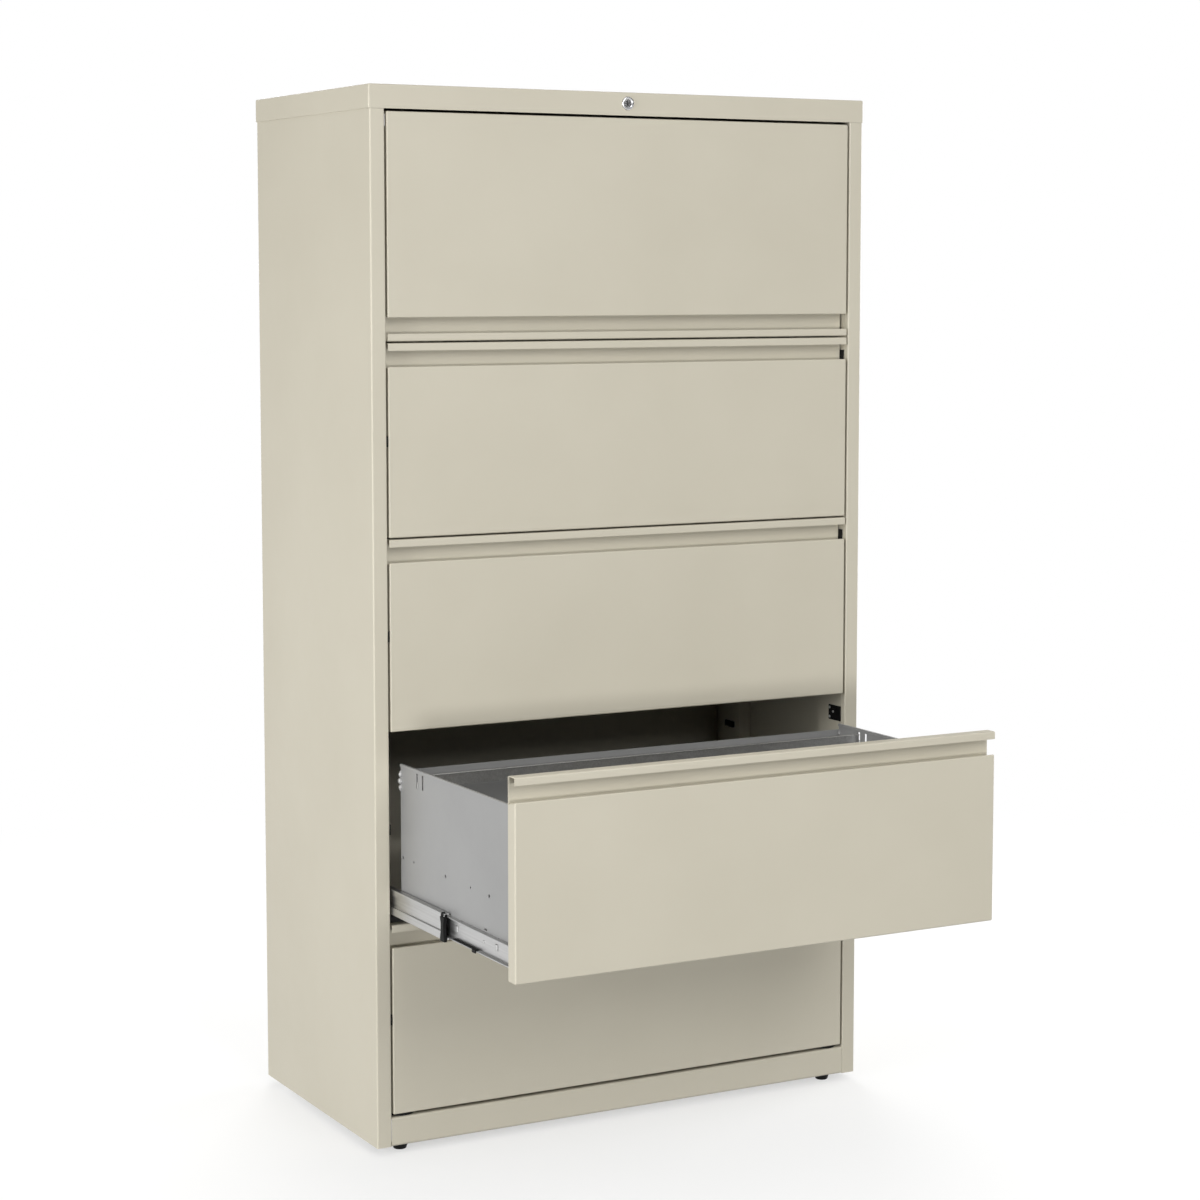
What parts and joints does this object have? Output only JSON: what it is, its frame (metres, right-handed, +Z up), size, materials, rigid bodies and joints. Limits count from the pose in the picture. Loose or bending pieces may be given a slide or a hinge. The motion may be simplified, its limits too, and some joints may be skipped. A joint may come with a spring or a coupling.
{
  "type": "lateral filing cabinet",
  "caption": "Tall painted steel lateral file with a flip-up receding door over wide file drawers on ball-bearing slides, a key lock in the cap and levelling feet.",
  "frame": {"origin": "on the floor, at the middle of the footprint with the third drawer open as stored", "axes": "+X to the right seen from the front, +Y to the back, +Z up"},
  "size_m": [0.9144, 0.9082, 1.6979],
  "materials": {
    "putty_paint": "satin powder coat, warm putty",
    "tray_steel": "silver-grey coated sheet steel",
    "zinc": "bright zinc-plated rolled steel",
    "chrome": "polished nickel-chrome",
    "black_plastic": "moulded black nylon"
  },
  "bodies": {
    "case": {"left_side_panel": "putty_paint", "right_side_panel": "putty_paint", "top_cap": "putty_paint", "back_panel": "putty_paint", "bottom_pan": "putty_paint", "base_plinth": "putty_paint", "compartment_shelf": "putty_paint", "left_front_upright": "putty_paint", "left_rear_upright": "putty_paint", "right_front_upright": "putty_paint", "right_rear_upright": "putty_paint", "left_door_rail": "zinc", "right_door_rail": "zinc", "lock_cylinder": "chrome", "drawer_1_left_cabinet_member": "zinc", "drawer_1_right_cabinet_member": "zinc", "drawer_2_left_cabinet_member": "zinc", "drawer_2_right_cabinet_member": "zinc", "drawer_3_left_cabinet_member": "zinc", "drawer_3_right_cabinet_member": "zinc", "drawer_4_left_cabinet_member": "zinc", "drawer_4_right_cabinet_member": "zinc"},
    "drawer_1": {"drawer_1_front": "putty_paint", "drawer_1_tray": "tray_steel", "drawer_1_hang_rail": "zinc", "drawer_1_left_drawer_member": "zinc", "drawer_1_right_drawer_member": "zinc"},
    "drawer_1_middle": {"drawer_1_left_middle_member": "zinc", "drawer_1_right_middle_member": "zinc"},
    "drawer_2": {"drawer_2_front": "putty_paint", "drawer_2_tray": "tray_steel", "drawer_2_hang_rail": "zinc", "drawer_2_left_drawer_member": "zinc", "drawer_2_right_drawer_member": "zinc"},
    "drawer_2_middle": {"drawer_2_left_middle_member": "zinc", "drawer_2_right_middle_member": "zinc"},
    "drawer_3": {"drawer_3_front": "putty_paint", "drawer_3_tray": "tray_steel", "drawer_3_hang_rail": "zinc", "drawer_3_left_drawer_member": "zinc", "drawer_3_right_drawer_member": "zinc"},
    "drawer_3_middle": {"drawer_3_left_middle_member": "zinc", "drawer_3_right_middle_member": "zinc"},
    "drawer_4": {"drawer_4_front": "putty_paint", "drawer_4_tray": "tray_steel", "drawer_4_hang_rail": "zinc", "drawer_4_left_drawer_member": "zinc", "drawer_4_right_drawer_member": "zinc"},
    "drawer_4_middle": {"drawer_4_left_middle_member": "zinc", "drawer_4_right_middle_member": "zinc"},
    "door_carriage": {"door_carriage": "zinc"},
    "door": {"door_panel": "putty_paint"},
    "lock_plug": {"lock_plug": "chrome"},
    "lock_link": {"lock_link": "zinc"},
    "lock_bar": {"lock_bar": "zinc", "lock_bar_pin": "zinc"},
    "front_left_foot": {"front_left_foot": "black_plastic"},
    "front_right_foot": {"front_right_foot": "black_plastic"},
    "rear_left_foot": {"rear_left_foot": "black_plastic"},
    "rear_right_foot": {"rear_right_foot": "black_plastic"}
  },
  "joints": [
    {"name": "drawer_1_slide", "type": "slide", "parent": "case", "child": "drawer_1", "axis": [0, -1, 0], "range_m": [0, 0.435]},
    {"name": "drawer_1_middle_slide", "type": "slide", "parent": "case", "child": "drawer_1_middle", "axis": [0, -1, 0], "range_m": [0, 0.2175]},
    {"name": "drawer_2_slide", "type": "slide", "parent": "case", "child": "drawer_2", "axis": [0, -1, 0], "range_m": [0, 0.435]},
    {"name": "drawer_2_middle_slide", "type": "slide", "parent": "case", "child": "drawer_2_middle", "axis": [0, -1, 0], "range_m": [0, 0.2175]},
    {"name": "drawer_3_slide", "type": "slide", "parent": "case", "child": "drawer_3", "axis": [0, -1, 0], "range_m": [-0.435, 0]},
    {"name": "drawer_3_middle_slide", "type": "slide", "parent": "case", "child": "drawer_3_middle", "axis": [0, -1, 0], "range_m": [-0.2175, 0]},
    {"name": "drawer_4_slide", "type": "slide", "parent": "case", "child": "drawer_4", "axis": [0, -1, 0], "range_m": [0, 0.435]},
    {"name": "drawer_4_middle_slide", "type": "slide", "parent": "case", "child": "drawer_4_middle", "axis": [0, -1, 0], "range_m": [0, 0.2175]},
    {"name": "door_recede", "type": "slide", "parent": "case", "child": "door_carriage", "axis": [0, 1, 0], "range_m": [0, 0.3]},
    {"name": "door_flip", "type": "hinge", "parent": "door_carriage", "child": "door", "pos_m": [0, -0.007, 1.6426], "axis": [-1, 0, 0], "range_deg": [0, 90]},
    {"name": "lock_turn", "type": "hinge", "parent": "case", "child": "lock_plug", "pos_m": [0, -0.019, 1.6801], "axis": [0, 1, 0], "range_deg": [0, 90]},
    {"name": "lock_link_slide", "type": "slide", "parent": "case", "child": "lock_link", "axis": [1, 0, 0], "range_m": [0, 0.0092]},
    {"name": "lock_bar_lift", "type": "slide", "parent": "case", "child": "lock_bar", "axis": [0, 0, 1], "range_m": [0, 0.0092]},
    {"name": "front_left_foot_turn", "type": "hinge", "parent": "case", "child": "front_left_foot", "pos_m": [-0.405, 0.007, 0], "axis": [0, 0, 1], "continuous": true},
    {"name": "front_right_foot_turn", "type": "hinge", "parent": "case", "child": "front_right_foot", "pos_m": [0.405, 0.007, 0], "axis": [0, 0, 1], "continuous": true},
    {"name": "rear_left_foot_turn", "type": "hinge", "parent": "case", "child": "rear_left_foot", "pos_m": [-0.405, 0.4265, 0], "axis": [0, 0, 1], "continuous": true},
    {"name": "rear_right_foot_turn", "type": "hinge", "parent": "case", "child": "rear_right_foot", "pos_m": [0.405, 0.4265, 0], "axis": [0, 0, 1], "continuous": true}
  ],
  "couplings": [
    {"joint": "drawer_1_middle_slide", "follows": "drawer_1_slide", "ratio": 0.5},
    {"joint": "drawer_2_middle_slide", "follows": "drawer_2_slide", "ratio": 0.5},
    {"joint": "drawer_3_middle_slide", "follows": "drawer_3_slide", "ratio": 0.5},
    {"joint": "drawer_4_middle_slide", "follows": "drawer_4_slide", "ratio": 0.5},
    {"joint": "door_recede", "follows": "door_flip", "m_per_rad": 0.19098},
    {"joint": "lock_link_slide", "follows": "lock_bar_lift", "ratio": 1},
    {"joint": "lock_turn", "follows": "lock_bar_lift", "rad_per_m": 170.74}
  ]
}
